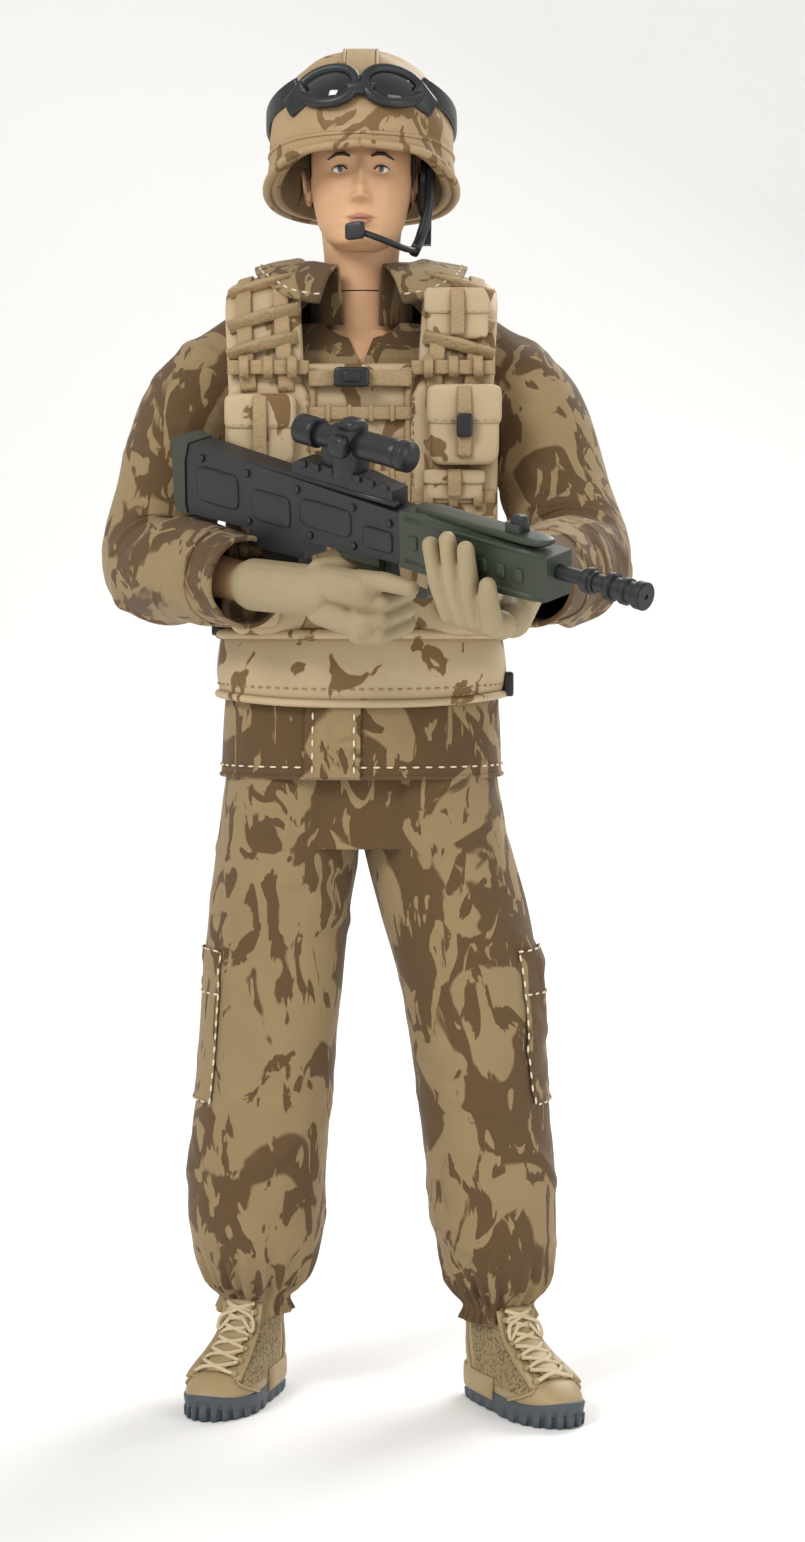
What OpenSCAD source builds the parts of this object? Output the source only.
// Jointed soldier action figure: a pinned plastic body inside cloth and soft-vinyl kit.
// Millimetres, +Z up, -Y is the figure's front, +X its left. Origin on the floor between the feet.

/* [Body] */
// Height of the shoulder axis above the floor
shoulder_z = 201; // [199:0.5:203]
// Half the distance between the shoulder centres
shoulder_half = 26.5; // [26:0.5:28]
// Height of the hip centres above the floor
hip_z = 117; // [116:0.5:118]
// Half the distance between the hip centres
hip_half = 12.5; // [12:0.25:13]
// Height of the waist split
waist_z = 146; // [145.5:0.25:146.5]
// Height of the head's nodding centre
nod_z = 222; // [221.5:0.25:222.5]
// Wall of the hollow plastic shells
wall = 1.8; // [1.4:0.1:2]
// Radial running clearance of every pin
run = 0.05; // [0.02:0.01:0.08]
// Thickness of the cloth
cloth = 1.2; // [1:0.1:1.4]

/* [Hinges] */
// Radius of the elbow knuckles
elbow_r = 4.2; // [4:0.1:4.4]
// Radius of the elbow pins
elbow_pin_r = 1.1; // [1:0.05:1.2]
// Radius of the knee knuckles
knee_r = 5.2; // [5:0.1:5.4]
// Radius of the knee pins
knee_pin_r = 1.3; // [1.2:0.05:1.4]
// Radius of the shoulder pegs
shoulder_peg_r = 2.5; // [2.3:0.1:2.6]
// Radius of the wrist pegs
wrist_peg_r = 1.6; // [1.4:0.1:1.7]

/* [Boots] */
// Length of a boot in front of the ankle
boot_front = 26; // [25:0.5:27]
// Length of a boot behind the ankle
boot_back = 9; // [8.5:0.25:9.5]
// Thickness of the forefoot sole
sole_h = 3.2; // [2.8:0.1:3.4]

/* [Helmet] */
// Outer radius of the helmet's dome
helmet_r = 17.5; // [17.3:0.1:17.8]
// Wall of the helmet
helmet_wall = 3; // [2.6:0.1:3.2]

/* [Rifle] */
// Turn of the barrel towards the front
rifle_yaw = 41.9; // [41.5:0.1:42.3]
// Drop of the muzzle
rifle_drop = 13.1; // [12.8:0.1:13.4]
// Lean of the rifle's top towards the front
rifle_roll = 16; // [15.5:0.5:16.5]
// Overall length of the rifle
rifle_l = 112; // [111:0.5:113]

/* [Hidden] */

$fn = 48;
gap = 0.2; // between pieces that only lie against each other
RIGHT = -1;
LEFT = 1;
tan_vinyl = "BurlyWood";
cloth_tan = "Tan";
skin = "SandyBrown";
black = "DimGray";

// Joint centres. The right arm's and leg's values come first in each pair.
function shoulder(side) = [side * shoulder_half, 2, shoulder_z];
function elbow(side) = shoulder(side) + (side == RIGHT ? [-15, -4, -38] : [15.5, -14, -38]);
function wrist(side) = side == RIGHT ? [-15.5, -37.4, 157] : [29.5, -48.4, 157.2];
function hip(side) = [side * hip_half, 0, hip_z];
function knee(side) = side == RIGHT ? [-20.1, -2, 66] : [22.5, -4, 66];
function ankle(side) = side == RIGHT ? [-21, 1, 14] : [26.5, -6, 14];
function toe_out(side) = side == RIGHT ? 20 : 30;
nod_centre = [0, 1, nod_z];

// Vectors
function unit(v) = v / norm(v);
function square_to(v, n) = unit(v - (v * n) * n);

// Limb directions and hinge axes
function upper_dir(side) = unit(elbow(side) - shoulder(side));
function fore_dir(side) = unit(wrist(side) - elbow(side));
function elbow_axis(side) = unit(cross(upper_dir(side), fore_dir(side)));
thigh_top_x = 17.5;
function thigh_top(side) = [side * thigh_top_x, 0, hip_z];
function thigh_dir(side) = unit(knee(side) - thigh_top(side));
function shin_dir(side) = unit(ankle(side) - knee(side));
function toe_dir(side) = [side * sin(toe_out(side)), -cos(toe_out(side)), 0];
function knee_axis(side) = unit(cross(thigh_dir(side), shin_dir(side)));
function foot_across(side) = cross([0, 0, 1], toe_dir(side));

// Rifle frame: x along the barrel, y towards the chest, z up
butt_end = [-33, -18, 180.6];
barrel_dir = [cos(rifle_drop) * cos(rifle_yaw), -cos(rifle_drop) * sin(rifle_yaw), -sin(rifle_drop)];
level_up = square_to([0, 0, 1], barrel_dir);
level_side = cross(barrel_dir, level_up);
rifle_up = level_up * cos(rifle_roll) + level_side * sin(rifle_roll);
rifle_far = cross(rifle_up, barrel_dir);

// Puts its children in a frame with origin o and axes x, y and z
module place(o, x, y, z) {
    multmatrix([
        [x[0], y[0], z[0], o[0]],
        [x[1], y[1], z[1], o[1]],
        [x[2], y[2], z[2], o[2]],
        [0, 0, 0, 1]
    ]) children();
}

// A limb's frame: z runs from p along dir, x is the hinge axis
module limb(p, dir, axis) {
    place(p, axis, cross(dir, axis), dir) children();
}

module on_rifle() {
    place(butt_end, barrel_dir, rifle_far, rifle_up) children();
}

module on_foot(side) {
    place([ankle(side)[0], ankle(side)[1], 0], foot_across(side), -toe_dir(side), [0, 0, 1]) children();
}

// Everything on the far side of the plane through p with normal n
module half_space(p, n) {
    across = unit(cross(n, abs(n[0]) < 0.9 ? [1, 0, 0] : [0, 1, 0]));
    place(p, across, cross(n, across), n) translate([-400, -400, 0]) cube(800);
}

module cylinder_x(r, from, to) {
    translate([min(from, to), 0, 0]) rotate([0, 90, 0]) cylinder(r = r, h = abs(to - from));
}

// A thin ellipse, one station of a hull
module station(z, a, b, y = 0) {
    translate([0, y, z]) scale([a, b, 1]) cylinder(r = 1, h = 0.1, $fn = 32);
}

module rounded_box(size, r) {
    translate([r - size[0] / 2, r - size[1] / 2, 0])
        linear_extrude(size[2])
            hull() for (x = [0, size[0] - 2 * r], y = [0, size[1] - 2 * r])
                translate([x, y]) circle(r = r, $fn = 16);
}

module capsule(p, q, r) {
    hull() {
        translate(p) sphere(r = r, $fn = 16);
        translate(q) sphere(r = r, $fn = 16);
    }
}

// ---- plastic body ----

module torso_form(grow) {
    hull() {
        station(waist_z + 0.3, 13.5 + grow, 8.8 + grow);
        station(165, 14 + grow, 9.2 + grow);
        station(185, 17 + grow, 10.6 + grow, 0.5);
        station(201, 17.6 + grow, 10 + grow, 1);
        station(206.6 + grow, 12, 7.5, 1.5);
    }
}

screw_spots = [[-7, 160], [7, 160], [-11, 192], [11, 192]];
screw_r = 0.8;
screw_head_r = 1.7;
shoulder_boss_r = 4.7;
shoulder_flat = 20.4; // the shells' outer faces beside the arms
neck_r = 7.3;
neck_shaft_r = 2;
waist_peg_r = 3;

module torso_shells() {
    color(skin) difference() {
        union() {
            difference() {
                torso_form(0);
                torso_form(-wall);
            }
            for (side = [RIGHT, LEFT])
                translate([0, shoulder(side)[1], shoulder_z])
                    cylinder_x(shoulder_boss_r, side * 15.6, side * shoulder_flat);
            translate([0, 1, 202]) cylinder(r = neck_r, h = 13);
            translate([0, 0, waist_z + 0.4]) cylinder(r = waist_peg_r + 2.4, h = 3.9);
            translate([0, 0, waist_z + 0.3]) linear_extrude(2) scale([1.5, 1]) circle(r = 8.3);
        }
        translate([0, shoulder(LEFT)[1], shoulder_z]) cylinder_x(shoulder_peg_r + run, -30, 30);
        translate(nod_centre) sphere(r = 10.8);
        translate([0, 1, 180]) cylinder(r = neck_shaft_r + run, h = 60);
        translate([0, 0, waist_z - 1]) cylinder(r = waist_peg_r + run, h = 20);
        for (s = screw_spots)
            translate([s[0], 0, s[1]]) rotate([90, 0, 0]) cylinder(r = screw_r, h = 9.4, center = true);
        for (side = [RIGHT, LEFT])
            translate([0, shoulder(side)[1], shoulder_z]) cylinder_x(4.1, side * 12.4, side * 15.2);
    }
}

module torso_front_shell() {
    difference() {
        union() {
            torso_shells();
            color(skin) intersection() {
                torso_form(-0.7);
                for (s = screw_spots)
                    translate([s[0], -9, s[1]]) rotate([-90, 0, 0]) cylinder(r = 2, h = 10);
            }
        }
        half_space([0, 1, 0], [0, 1, 0]);
        for (s = screw_spots)
            translate([s[0], -4.4, s[1]]) rotate([-90, 0, 0]) cylinder(r = screw_r, h = 8);
    }
}

module torso_back_shell() {
    difference() {
        union() {
            torso_shells();
            color(skin) intersection() {
                torso_form(-0.7);
                for (s = screw_spots)
                    translate([s[0], 0, s[1]]) rotate([-90, 0, 0]) cylinder(r = 2.6, h = 12);
            }
        }
        half_space([0, 1, 0], [0, -1, 0]);
        for (s = screw_spots)
            translate([s[0], 0, s[1]]) rotate([-90, 0, 0]) {
                cylinder(r = screw_r + 0.15, h = 8);
                translate([0, 0, 3.6]) cylinder(r = screw_head_r + 0.15, h = 12);
            }
    }
}

module torso_screws() {
    color("Silver") for (s = screw_spots)
        translate([s[0], 0, s[1]]) rotate([-90, 0, 0]) {
            translate([0, 0, -4.2]) cylinder(r = screw_r, h = 7.8);
            difference() {
                translate([0, 0, 3.6]) cylinder(r = screw_head_r, h = 1.2);
                translate([-0.2, -1.2, 4.4]) cube([0.4, 2.4, 1]);
                translate([-1.2, -0.2, 4.4]) cube([2.4, 0.4, 1]);
            }
        }
}

module neck_ball() {
    color(skin) {
        translate(nod_centre) sphere(r = 3.6);
        translate([0, 1, 198]) cylinder(r = neck_shaft_r, h = nod_z - 198);
        translate([0, 1, 198]) cylinder(r = 3.4, h = 1.6);
    }
}

pelvis_side = 11.3; // the pelvis's flat sides, where the hip balls stand out
hip_ball_r = 6.5;

module pelvis_block() {
    color(skin) {
        difference() {
            hull() {
                station(waist_z - 0.4, 12.6, 8.6);
                station(130, 13.4, 9.4);
                station(118, 12.4, 9.2);
                station(108.4, 8, 7.6);
            }
            for (side = [RIGHT, LEFT]) {
                translate([side * (pelvis_side + 10), 0, 120]) cube([20, 60, 80], center = true);
                translate(hip(side)) hull() sphere(r = hip_ball_r + 0.15, $fn = 32);
            }
        }
        translate([0, 0, waist_z - 1]) cylinder(r = waist_peg_r, h = 6);
        translate([0, 0, waist_z + 4.4]) cylinder(r = 4.2, h = 1.2);
    }
}

// ---- arms ----

upper_len = norm(elbow(RIGHT) - shoulder(RIGHT));
elbow_fork_w = 8.6;
elbow_tongue = 3;
tongue_play = 0.15;

// The upper half of a hinged limb: its fork ends at z = len
module forked_limb(len, r_top, r_low, hinge_r, fork_w, tongue, pin_r) {
    difference() {
        union() {
            cylinder(r1 = r_top, r2 = r_low, h = len - 2.6 * hinge_r);
            translate([0, 0, len - 2.6 * hinge_r])
                cylinder(r1 = r_low, r2 = hinge_r * 0.72, h = 1.7 * hinge_r);
            translate([0, 0, len]) cylinder_x(hinge_r, -fork_w / 2, fork_w / 2);
        }
        translate([-tongue / 2 - tongue_play, -hinge_r - 2, len - hinge_r - 0.3])
            cube([tongue + 2 * tongue_play, 2 * hinge_r + 4, 3 * hinge_r]);
        translate([0, 0, len]) cylinder_x(pin_r, -fork_w, fork_w);
    }
}

// The lower half: its tongue turns about z = 0
module tongued_limb(len, r_mid, r_end, hinge_r, tongue, pin_r) {
    difference() {
        union() {
            cylinder_x(hinge_r - 0.3, -tongue / 2, tongue / 2);
            translate([-tongue / 2, -hinge_r * 0.6, 0]) cube([tongue, hinge_r * 1.2, hinge_r + 1.6]);
            translate([0, 0, hinge_r + 0.7]) cylinder(r1 = hinge_r * 0.68, r2 = r_mid, h = 1.4 * hinge_r);
            translate([0, 0, 2.4 * hinge_r + 0.7]) cylinder(r1 = r_mid, r2 = r_end, h = len - 2.4 * hinge_r - 0.7);
        }
        cylinder_x(pin_r + run, -hinge_r, hinge_r);
    }
}

module upper_arm(side) {
    len = norm(elbow(side) - shoulder(side));
    color(skin) difference() {
        union() {
            limb(shoulder(side), upper_dir(side), elbow_axis(side))
                forked_limb(len, 5.2, 4.7, elbow_r, elbow_fork_w, elbow_tongue, elbow_pin_r);
            difference() {
                translate(shoulder(side)) sphere(r = 6.2);
                half_space([side * (shoulder_flat + 0.2), 0, 0], [-side, 0, 0]);
            }
            translate([0, shoulder(side)[1], shoulder_z]) {
                cylinder_x(shoulder_peg_r, side * 14.4, side * 24);
                cylinder_x(3.8, side * 13.2, side * 14.5);
            }
        }
    }
}

module elbow_pin(side) {
    color("Silver") limb(elbow(side), fore_dir(side), elbow_axis(side))
        cylinder_x(elbow_pin_r, -elbow_fork_w / 2, elbow_fork_w / 2);
}

module forearm(side) {
    len = norm(wrist(side) - elbow(side)) - 0.3;
    color(skin) limb(elbow(side), fore_dir(side), elbow_axis(side))
        difference() {
            tongued_limb(len, 4.5, 3.4, elbow_r, elbow_tongue, elbow_pin_r);
            translate([0, 0, len - 6]) cylinder(r = wrist_peg_r + run, h = 7);
        }
}

module wrist_peg(side) {
    limb(wrist(side), fore_dir(side), elbow_axis(side)) {
        translate([0, 0, -5.6]) cylinder(r = wrist_peg_r, h = 6.6);
        cylinder(r = 3.5, h = 2.4);
    }
}

// Heights on the rifle that the hands close around
grip_x = 49.2;
grip_half_x = 3.1;
grip_half_y = 2.3;
finger_r = 1.55;

module right_hand() {
    reach = grip_half_x + 0.3;
    near = grip_half_y + 0.3;
    color(tan_vinyl) {
        wrist_peg(RIGHT);
        limb(wrist(RIGHT), fore_dir(RIGHT), elbow_axis(RIGHT)) translate([0, 0, 1]) cylinder(r = 3.9, h = 9.4);
        on_rifle() {
            translate([grip_x - 9.4, -near - 4.4, -20.4]) cube([13.4, 4.4, 11.2]);
            translate([grip_x + reach, -near - 4.3, -20.6]) cube([3, 2 * near + 7.2, 8.2]);
            translate([grip_x - 2, near, -20.5]) cube([reach + 4.9, 2.8, 8]);
            translate([0, -near - 1.9, -9.4]) cylinder_x(1.5, grip_x - 4, grip_x + 11.5);
            translate([grip_x - reach - 1.6, -near - 4, -11]) rotate([-90, 0, 0])
                cylinder(r = 1.5, h = 2 * near + 5);
        }
    }
}

// Finger columns of the open left hand: place along the rifle and height of the tip
left_fingers = [[69.6, 0.6], [73.2, 2.2], [77, 1.4], [82.6, -4]];
left_near_y = -5.7;
left_floor_z = -9.2;

module left_hand() {
    color(tan_vinyl) {
        wrist_peg(LEFT);
        hull() {
            translate(wrist(LEFT) + 1.2 * fore_dir(LEFT)) sphere(r = 3.4, $fn = 24);
            on_rifle() {
                translate([72, -3.5, left_floor_z - 1]) sphere(r = 2.2, $fn = 24);
                translate([82, -3.5, left_floor_z - 1]) sphere(r = 2.2, $fn = 24);
                translate([73, 4, left_floor_z - 1.4]) sphere(r = 2.2, $fn = 24);
                translate([82, 4, left_floor_z - 1.4]) sphere(r = 2.2, $fn = 24);
            }
        }
        on_rifle() {
            for (f = left_fingers)
                capsule([f[0] + 1, left_near_y + 0.4, left_floor_z - 0.6], [f[0], left_near_y - 0.3, f[1]], 1.7);
            capsule([80, 6, left_floor_z - 1], [84, 11.5, -1.5], 1.9);
        }
    }
}

// ---- legs ----

module hip_disc(side) {
    color(skin) {
        difference() {
            translate(hip(side)) sphere(r = hip_ball_r);
            half_space([side * (hip_half + 2.5), 0, 0], [side, 0, 0]);
        }
        translate([0, 0, hip_z]) cylinder_x(2.6, side * (hip_half + 1), side * (hip_half + 7.6));
    }
}

thigh_r = 6.4;
knee_fork_w = 10.6;
knee_tongue = 4;

module thigh(side) {
    len = norm(knee(side) - thigh_top(side));
    color(skin) difference() {
        union() {
            translate([0, 0, hip_z])
                cylinder_x(6.9, side * (hip_half + 2.7), side * (hip_half + 7.6));
            limb(thigh_top(side), thigh_dir(side), knee_axis(side)) {
                cylinder(r1 = 2.3, r2 = 4.6, h = 8);
                translate([0, 0, 8]) cylinder(r1 = 4.6, r2 = thigh_r, h = 6);
                translate([0, 0, 14])
                    forked_limb(len - 14, thigh_r, 6, knee_r, knee_fork_w, knee_tongue, knee_pin_r);
            }
        }
        translate([0, 0, hip_z]) cylinder_x(2.6 + run, side * 6, side * 30);
        translate(hip(side)) sphere(r = hip_ball_r + 0.1);
    }
}

module knee_pin(side) {
    color("Silver") limb(knee(side), shin_dir(side), knee_axis(side))
        cylinder_x(knee_pin_r, -knee_fork_w / 2, knee_fork_w / 2);
}

ankle_r = 2.9;
ankle_tongue = 3;
ankle_pin_r = 1;

module shin(side) {
    len = norm(ankle(side) - knee(side));
    axis = square_to(knee_axis(side), shin_dir(side));
    color(skin) difference() {
        union() {
            limb(knee(side), shin_dir(side), axis)
                difference() {
                    tongued_limb(len - 9.6, 5.8, 4.2, knee_r, knee_tongue, knee_pin_r);
                    cylinder_x(knee_pin_r + run, -8, 8);
                }
            limb(knee(side), shin_dir(side), axis)
                translate([0, 0, len - 10]) cylinder(r = 1.45, h = 10);
            on_foot(side) translate([0, 0, ankle(side)[2]])
                cylinder_x(ankle_r, -ankle_tongue / 2, ankle_tongue / 2);
        }
        on_foot(side) translate([0, 0, ankle(side)[2]]) cylinder_x(ankle_pin_r + run, -8, 8);
    }
}

module ankle_pin(side) {
    color("Silver") on_foot(side) translate([0, 0, ankle(side)[2]]) cylinder_x(ankle_pin_r, -4.4, 4.4);
}

boot_mid = 5.2;

module boot(side) {
    color("Peru") on_foot(side) difference() {
        union() {
            hull() {
                translate([0, -boot_front + 6.6, sole_h + 2.2]) sphere(r = 5.2, $fn = 32);
                translate([0, -boot_front + 11, sole_h + 3]) sphere(r = 6.2, $fn = 32);
                translate([0, boot_back - 5.4, sole_h + 3]) sphere(r = 5, $fn = 32);
                translate([0, -5, 10]) sphere(r = 4.6, $fn = 32);
            }
            hull() {
                translate([0, -3.6, 12]) cylinder(r = 4.5, h = 5, $fn = 32);
                translate([0, 1, sole_h + 1]) cylinder(r = 5.1, h = 13.6, $fn = 32);
            }
        }
        translate([-20, -40, -20]) cube([40, 60, 20 + sole_h + 0.1]);
        translate([-ankle_tongue / 2 - 0.2, -6.6, 10.6]) cube([ankle_tongue + 0.4, 12, 30]);
        translate([0, 0, 15.2]) cylinder(r1 = 2.6, r2 = 3.9, h = 6);
        translate([0, 0, ankle(side)[2]]) cylinder_x(ankle_pin_r, -20, 20);
    }
}

module sole_outline(grow) {
    hull() {
        translate([0, -boot_front + 7.2]) circle(r = 5.9 + grow);
        translate([0, -boot_front + 12]) circle(r = 6.7 + grow);
    }
    hull() {
        translate([0, -boot_front + 12]) circle(r = 6.5 + grow);
        translate([0, boot_back - 5.5]) circle(r = 5.5 + grow);
    }
}

module sole(side) {
    color("SlateGray") on_foot(side) difference() {
        linear_extrude(sole_h) sole_outline(0);
        translate([0, -1.5, -1.6]) cylinder_x(3.2, -20, 20);
    }
}

// ---- head and helmet ----

module head() {
    color(skin) difference() {
        union() {
            hull() {
                translate([0, 2.2, 240.6]) sphere(r = 11.4, $fn = 32);
                translate([0, -4, 238]) sphere(r = 9.2, $fn = 32);
                translate([0, -5.6, 228.4]) sphere(r = 6, $fn = 32);
            }
            intersection() {
                translate([0, 1, 208]) cylinder(r = neck_r, h = 26);
                translate(nod_centre) sphere(r = 10.6);
            }
            translate([0, 1, nod_z]) cylinder(r = neck_r, h = 12);
            for (side = [RIGHT, LEFT])
                translate([side * 10.4, 1.6, 235.5]) scale(1) cylinder_x(2.6, -0.9, 0.9);
        }
        translate(nod_centre) sphere(r = 3.6 + run);
        translate([0, 1, nod_z - 12]) cylinder(r1 = 5.4, r2 = 2.6, h = 9.4);
    }
}

module helmet_form(grow) {
    hull() {
        translate([0, -1.6, 260.6 - helmet_r]) sphere(r = helmet_r + grow, $fn = 48);
        translate([0, 4.6, 260.2 - helmet_r]) sphere(r = helmet_r + grow, $fn = 48);
        translate([0, 1.5, 228]) cylinder(r = helmet_r - 0.4 + grow, h = 1, $fn = 48);
    }
}

// What lies under the brim: high in front, low over the ears and nape
module below_brim() {
    rotate([90, 0, 90]) translate([0, 0, -40]) linear_extrude(80)
        polygon([[-40, 240.6], [-12, 240.4], [-5, 235.4], [5, 233.6], [14, 230.5], [40, 229.5], [40, 190], [-40, 190]]);
}

module helmet() {
    color(cloth_tan) difference() {
        helmet_form(0);
        helmet_form(-helmet_wall);
        below_brim();
    }
}

module goggle_lens_outline(grow) {
    for (side = [RIGHT, LEFT])
        hull() {
            translate([side * 3.7, 250.4]) circle(r = 2.3 + grow, $fn = 20);
            translate([side * 8.6, 248.9]) circle(r = 2 + grow, $fn = 20);
        }
}

module through_front() {
    translate([0, 0, 0]) rotate([90, 0, 0]) linear_extrude(60) children();
}

module goggle_frame() {
    color(black) intersection() {
        difference() {
            helmet_form(2.3);
            helmet_form(gap);
        }
        difference() {
            through_front() {
                difference() {
                    hull() {
                        goggle_lens_outline(1.3);
                        for (side = [RIGHT, LEFT]) translate([side * 13.2, 246.6]) circle(r = 2, $fn = 20);
                    }
                    goggle_lens_outline(0.05);
                    translate([0, 246.4]) circle(r = 1.9);
                }
            }
        }
    }
}

module goggle_lenses() {
    color("Black") intersection() {
        difference() {
            helmet_form(1.7);
            helmet_form(gap);
        }
        through_front() goggle_lens_outline(0);
    }
}

module goggle_strap() {
    color(black) intersection() {
        difference() {
            helmet_form(1.1);
            helmet_form(gap);
        }
        difference() {
            rotate([90, 0, 90]) translate([0, 0, -40]) linear_extrude(80)
                polygon([[-30, 248.2], [30, 242], [30, 238], [-30, 244.4]]);
            translate([0, 0, 0]) rotate([90, 0, 0]) translate([0, 0, 2]) linear_extrude(60)
                hull() {
                    goggle_lens_outline(1.5);
                    for (side = [RIGHT, LEFT]) translate([side * 13.2, 246.6]) circle(r = 2.25, $fn = 20);
                }
        }
    }
}

module headset_band() {
    color(black) {
        difference() {
            translate([0, 0.6, 242]) rotate([90, 0, 0]) cylinder(r = 13.8, h = 3, center = true);
            translate([0, 0, 242]) rotate([90, 0, 0]) cylinder(r = 12.3, h = 9, center = true);
            translate([-20, -5, 220]) cube([40, 12, 20]);
        }
        translate([11.6, 0.6, 223.5]) rotate([0, 1, 0]) translate([0, -1.5, 0]) cube([1.8, 3, 17.6]);
        translate([11.4, 0.6, 236.5]) cylinder_x(3.4, 0, 1.9);
    }
}

module microphone_boom() {
    color(black) {
        capsule([12.6, -1.9, 224.6], [10.2, -9.5, 223], 0.75);
        capsule([10.2, -9.5, 223], [2, -16.4, 224.2], 0.75);
        translate([0.6, -16.6, 224.4]) rotate([0, 8, -25]) translate([-1.7, -1, -1.6]) cube([3.4, 2, 3.2]);
    }
}

// ---- clothes ----

module shirt_body() {
    color(cloth_tan) difference() {
        torso_form(0.3 + cloth);
        torso_form(0.3);
        translate([0, 1, 200]) cylinder(r = 9.2, h = 30);
        translate([0, 0, waist_z - 2]) cylinder(r = 40, h = 4);
        translate([0, shoulder(LEFT)[1], shoulder_z]) cylinder_x(5, -40, 40);
        translate([0, 0, 203]) rotate([90, 0, 0]) linear_extrude(40) polygon([[-7, 14], [7, 14], [0, -4]]);
    }
}

module shirt_collar() {
    color(cloth_tan) difference() {
        translate([0, 1.5, 0]) rotate_extrude() polygon([
            [9.4, 208.6], [9.8, 217.5], [12, 220.4], [16.2, 215.4], [16.2, 213.6],
            [12.2, 217.6], [11, 216.6], [10.8, 208.6]
        ]);
        rotate([90, 0, 0]) linear_extrude(40) polygon([[0, 205], [9, 224], [-9, 224]]);
    }
}

module skirt_form(grow) {
    hull() {
        station(waist_z - 0.6, 24.4 + grow, 16.2 + grow);
        station(122, 27.3 + grow, 19 + grow, -0.4);
    }
}

module shirt_skirt() {
    color(cloth_tan) difference() {
        skirt_form(0);
        skirt_form(-cloth);
        translate([0, 0, 121]) cylinder(r = 50, h = 1.6);
        translate([0, 0, waist_z - 1]) cylinder(r = 50, h = 6);
    }
}

sleeve_r = 8.7;
cuff_r = 5.4;

// The cloth's outer form round one arm, thinner by t inside
module sleeve_upper_form(side, t) {
    len = norm(elbow(side) - shoulder(side));
    translate(shoulder(side)) sphere(r = 8.8 - t);
    limb(shoulder(side), upper_dir(side), elbow_axis(side))
        cylinder(r1 = 8.7 - t, r2 = sleeve_r - t, h = len);
    translate(elbow(side)) sphere(r = sleeve_r + 0.3 - t);
}

module sleeve_lower_form(side, t, cut = 0) {
    len = norm(wrist(side) - elbow(side)) - (side == RIGHT ? 11 : 5);
    limb(elbow(side), fore_dir(side), elbow_axis(side))
        cylinder(r1 = sleeve_r - t, r2 = cuff_r - t, h = len + cut);
    translate(elbow(side)) sphere(r = sleeve_r + 0.3 - t);
}

function elbow_mitre(side) = unit(upper_dir(side) + fore_dir(side));

module upper_sleeve(side) {
    color(cloth_tan) difference() {
        sleeve_upper_form(side, 0);
        sleeve_upper_form(side, cloth);
        half_space(elbow(side) - 0.15 * elbow_mitre(side), elbow_mitre(side));
        half_space([side * (shoulder_flat + 1.6), 0, 0], [-side, 0, 0]);
    }
}

module lower_sleeve(side) {
    color(cloth_tan) difference() {
        sleeve_lower_form(side, 0);
        sleeve_lower_form(side, cloth, 2);
        half_space(elbow(side) + 0.15 * elbow_mitre(side), -elbow_mitre(side));
    }
}

leg_split_z = 107.6;

module seat_form(grow) {
    hull() {
        station(waist_z - 3, 22 + grow, 14.4 + grow);
        station(126, 25 + grow, 16.6 + grow);
        station(leg_split_z, 28 + grow, 15 + grow);
    }
}

module trouser_seat() {
    color(cloth_tan) difference() {
        seat_form(0);
        seat_form(-cloth);
        translate([0, 0, leg_split_z - 1]) cylinder(r = 60, h = 1.2);
        translate([0, 0, waist_z - 3.2]) cylinder(r = 60, h = 3);
    }
}

function leg_top(side) = [side * 14.5, 0, leg_split_z];
function leg_dir(side) = unit(knee(side) - leg_top(side));
function knee_mitre(side) = unit(leg_dir(side) + shin_dir(side));
knee_cloth_r = 12.7;

module trouser_thigh(side) {
    len = norm(knee(side) - leg_top(side));
    color(cloth_tan) difference() {
        limb(leg_top(side), leg_dir(side), square_to(knee_axis(side), leg_dir(side)))
            difference() {
                translate([0, 0, -3]) cylinder(r1 = 14.2, r2 = knee_cloth_r, h = len + 7);
                translate([0, 0, -4]) cylinder(r1 = 14.2 - cloth, r2 = knee_cloth_r - cloth, h = len + 9);
            }
        half_space([0, 0, leg_split_z], [0, 0, 1]);
        half_space([0, 0, 0], [-side, 0, 0]);
        half_space(knee(side) - 0.1 * knee_mitre(side), knee_mitre(side));
    }
}

module trouser_shin(side) {
    len = norm(ankle(side) - knee(side));
    hem = len - 5.4;
    color(cloth_tan) difference() {
        limb(knee(side), shin_dir(side), square_to(knee_axis(side), shin_dir(side)))
            rotate_extrude() polygon([
                [knee_cloth_r, -3], [knee_cloth_r + 0.3, 0.4 * len], [12, 0.68 * len],
                [10.4, 0.8 * len], [7.9, hem - 2], [7.9, hem],
                [7.9 - cloth, hem], [7.9 - cloth, hem - 2.4], [10.4 - cloth, 0.8 * len - 0.6],
                [12 - cloth, 0.68 * len], [knee_cloth_r + 0.3 - cloth, 0.4 * len], [knee_cloth_r - cloth, -3]
            ]);
        half_space(knee(side) + 0.1 * knee_mitre(side), -knee_mitre(side));
    }
}

// ---- vest ----

vest_split_y = 2;

module vest_form() {
    hull() {
        station(148.7, 24, 15.6, -0.6);
        station(160, 24, 16, -0.8);
        station(184, 22.4, 16.2, -0.4);
        station(195.2, 18.6, 15, 0.4);
    }
    hull() {
        translate([-20, -18.6, 150]) cube([40, 6, 49.6]);
        translate([-22, -15.5, 152]) cube([44, 3, 38]);
    }
    for (side = [RIGHT, LEFT])
        hull() {
            translate([side * 13.4 - 4.2, -16.4, 192]) cube([8.4, 4, 14]);
            translate([side * 13 - 3.8, -8, 209.4]) cube([7.6, 14, 4.6]);
            translate([side * 13.4 - 4.2, 10, 190]) cube([8.4, 5.2, 14]);
        }
}

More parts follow.
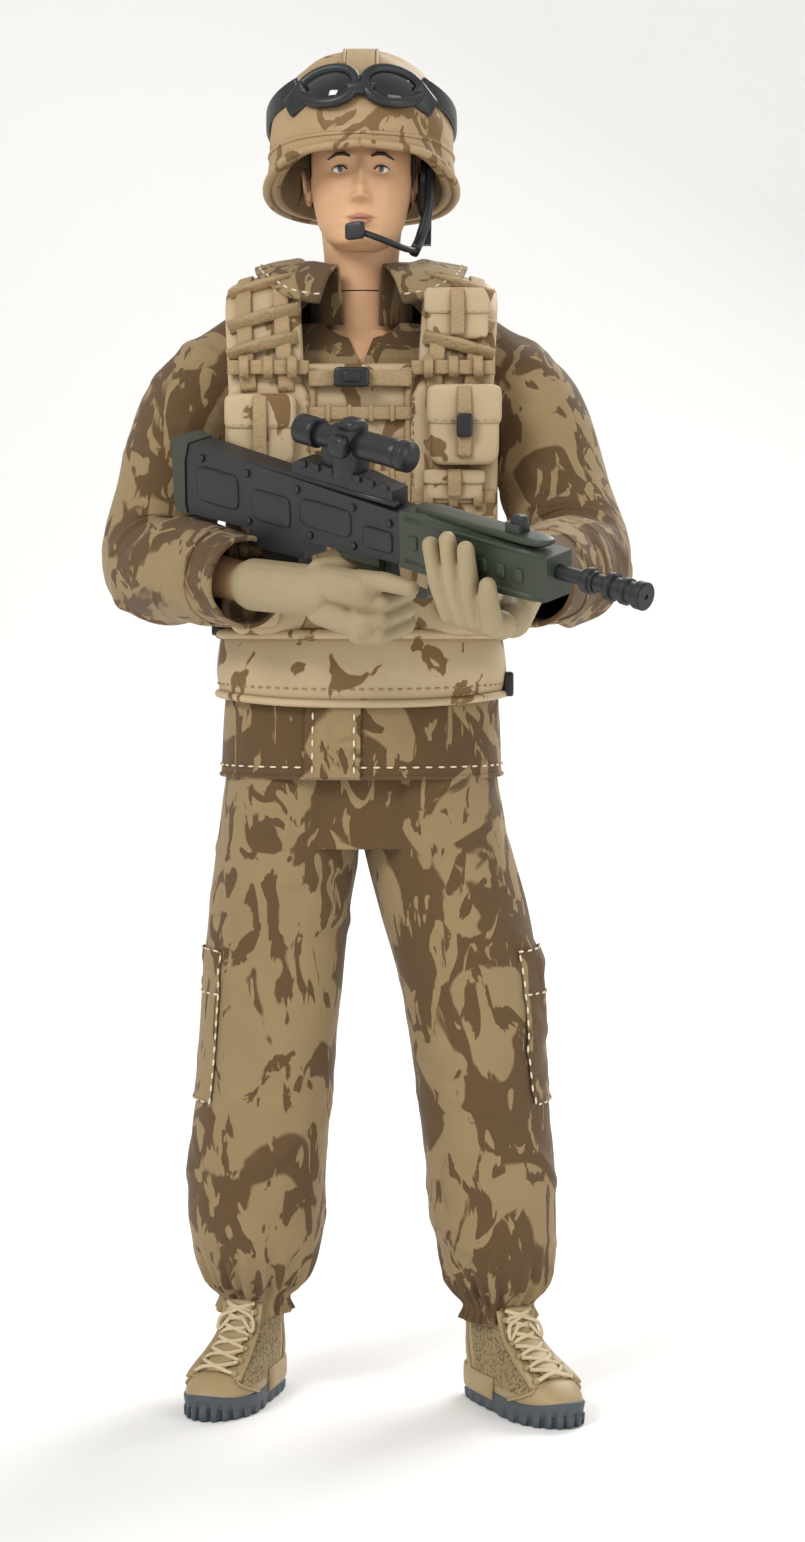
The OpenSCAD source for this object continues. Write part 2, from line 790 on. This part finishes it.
module vest() {
    color(tan_vinyl) difference() {
        vest_form();
        torso_form(0.3 + cloth + gap);
        translate([0, 1.5, 197]) cylinder(r = 9.6, h = 30);
        translate([0, 1.5, 207.8]) cylinder(r = 12.8, h = 30);
        translate([0, 1.5, 212.9]) cylinder(r = 16.8, h = 30);
        translate([0, -20, 207.4]) rotate([-90, 0, 0]) cylinder(r = 8.6, h = 18);
        for (side = [RIGHT, LEFT])
            translate([0, shoulder(side)[1], shoulder_z]) {
                cylinder_x(10.1, side * 17.9, side * 40);
                cylinder_x(5.6, side * 12, side * 20);
            }
    }
}

module vest_front() {
    difference() {
        vest();
        half_space([0, vest_split_y - 0.1, 180], [0, 1, 0]);
    }
}

module vest_back() {
    difference() {
        vest();
        half_space([0, vest_split_y + 0.1, 180], [0, -1, 0]);
    }
}

// Pouch: width, depth, height and the centre of its back at its foot
module pouch(size, at) {
    translate(at) translate([0, -size[1] / 2, 0]) rounded_box(size, 1.2);
}

module vest_pouches() {
    color(tan_vinyl) {
        pouch([13.5, 5.2, 14.5], [15.6, -18.6, 180]);
        pouch([11.5, 3.4, 11], [-16.2, -18.6, 182]);
        pouch([8, 3.6, 11], [13.6, -16.8, 199.8]);
        pouch([13, 3.6, 12], [16.5, -18.6, 151]);
    }
}

module chest_buckle() {
    color(black) translate([-4.4, -20.4, 195]) cube([7.4, 1.8, 3.4]);
}

module flap_form(grow) {
    hull() {
        station(137.4, 27.6 + grow, 19.6 + grow, -0.4);
        station(146.8, 28 + grow, 19.8 + grow, -0.6);
    }
}

module waist_flap() {
    color(tan_vinyl) difference() {
        flap_form(0);
        flap_form(-1.8);
        translate([0, 0, 136]) cylinder(r = 60, h = 1.5);
        translate([0, 0, 146.8]) cylinder(r = 60, h = 2);
    }
    color(tan_vinyl) difference() {
        translate([0, -0.6, 146.5]) linear_extrude(1.8) scale([27.4 / 19.2, 1]) circle(r = 19.2, $fn = 64);
        torso_form(0.3 + cloth + gap);
    }
}

// ---- rifle, in its own frame ----

module side_profile(half) {
    rotate([90, 0, 0]) translate([0, 0, -half]) linear_extrude(2 * half) children();
}

module rifle_butt_pad() {
    color("DarkOliveGreen") on_rifle() side_profile(3.1)
        polygon([[0, 5.6], [1, 6.2], [4.6, 5.8], [3.4, 2], [3, -6.6], [3.4, -8.2], [0.6, -8.4], [0, -7]]);
}

module rifle_receiver() {
    color(black) on_rifle() difference() {
        side_profile(2.8) polygon([
            [4.8, 5.6], [58.4, 3.6], [58.4, -5.8], [34.4, -6.9], [34, -10.4],
            [20, -11], [19.6, -7.6], [3.8, -8.2], [3.3, -6.5], [3.7, 2]
        ]);
        translate([21.4, -2.15, -20]) cube([10.2, 4.3, 12.4]);
        translate([58.6, 0, 0]) cylinder_x(1.36, -6, 1);
    }
}

module rifle_grip() {
    color("DarkOliveGreen") on_rifle() {
        translate([grip_x, 0, -22]) linear_extrude(14.4)
            hull() for (x = [-1.2, 1.2]) translate([x, 0]) circle(r = 1.9, $fn = 20);
        side_profile(2.2) polygon([[41.4, -6.7], [52.4, -6.2], [52.6, -8], [43.4, -8.2]]);
    }
    color(black) on_rifle() side_profile(1) difference() {
        polygon([[53, -6.2], [64.8, -6.6], [64, -10.6], [62.4, -12], [54.4, -11.4], [52.8, -10.6], [52.8, -6.2]]);
        polygon([[54, -6], [64, -6], [63, -10.2], [61.8, -11], [54.8, -10.4]]);
    }
}

module rifle_handguard() {
    color("DarkOliveGreen") on_rifle() difference() {
        side_profile(3.2) polygon([
            [58.7, 4.2], [64, 4.8], [80, 3.8], [93, 3.2], [93, -4.6], [90, -5.2], [66, -6.3], [58.7, -6.1]
        ]);
        cylinder_x(1.36, 50, 100);
    }
    color(black) on_rifle() translate([82, -1.4, 3.5]) cube([3.2, 2.8, 3.4]);
}

module rifle_barrel() {
    color(black) on_rifle() {
        cylinder_x(1.3, 54, 99);
        cylinder_x(1.9, 98.8, 101.4);
        cylinder_x(1.6, 101, 104.4);
        cylinder_x(2.1, 104, 105.6);
        cylinder_x(1.9, 105.4, 110.6);
        difference() {
            cylinder_x(2.15, 110.4, rifle_l);
            cylinder_x(0.5, 108, rifle_l + 1);
        }
    }
}

module rifle_sight() {
    color(black) on_rifle() {
        side_profile(2) polygon([[31, 4.9], [56, 4], [56, 7], [48, 8.2], [33, 8.2], [31, 7]]);
        translate([44, 0, 7]) cylinder(r = 3.3, h = 9);
        translate([0, 0, 13.2]) {
            cylinder_x(1.9, 33, 48);
            cylinder_x(2.5, 31.6, 36.4);
            cylinder_x(2.4, 47, 57);
        }
    }
}

module rifle_magazine() {
    color(black) on_rifle() side_profile(1.7)
        polygon([[21.6, -7.8], [31.4, -7.8], [31.5, -12], [32, -15.4], [23, -15.8], [21.9, -12]]);
}

pelvis_block();
torso_front_shell();
torso_back_shell();
torso_screws();
neck_ball();
head();
helmet();
goggle_frame();
goggle_lenses();
goggle_strap();
headset_band();
microphone_boom();
upper_arm(RIGHT);  // right_upper_arm
upper_arm(LEFT);  // left_upper_arm
elbow_pin(RIGHT);  // right_elbow_pin
elbow_pin(LEFT);  // left_elbow_pin
forearm(RIGHT);  // right_forearm
forearm(LEFT);  // left_forearm
right_hand();
left_hand();
hip_disc(RIGHT);  // right_hip_disc
hip_disc(LEFT);  // left_hip_disc
thigh(RIGHT);  // right_thigh
thigh(LEFT);  // left_thigh
knee_pin(RIGHT);  // right_knee_pin
knee_pin(LEFT);  // left_knee_pin
shin(RIGHT);  // right_shin
shin(LEFT);  // left_shin
boot(RIGHT);  // right_boot
boot(LEFT);  // left_boot
sole(RIGHT);  // right_sole
sole(LEFT);  // left_sole
ankle_pin(RIGHT);  // right_ankle_pin
ankle_pin(LEFT);  // left_ankle_pin
shirt_body();
shirt_collar();
shirt_skirt();
upper_sleeve(RIGHT);  // right_upper_sleeve
upper_sleeve(LEFT);  // left_upper_sleeve
lower_sleeve(RIGHT);  // right_lower_sleeve
lower_sleeve(LEFT);  // left_lower_sleeve
trouser_seat();
trouser_thigh(RIGHT);  // right_trouser_thigh
trouser_thigh(LEFT);  // left_trouser_thigh
trouser_shin(RIGHT);  // right_trouser_shin
trouser_shin(LEFT);  // left_trouser_shin
vest_front();
vest_back();
vest_pouches();
chest_buckle();
waist_flap();
rifle_receiver();
rifle_handguard();
rifle_barrel();
rifle_butt_pad();
rifle_sight();
rifle_magazine();
rifle_grip();
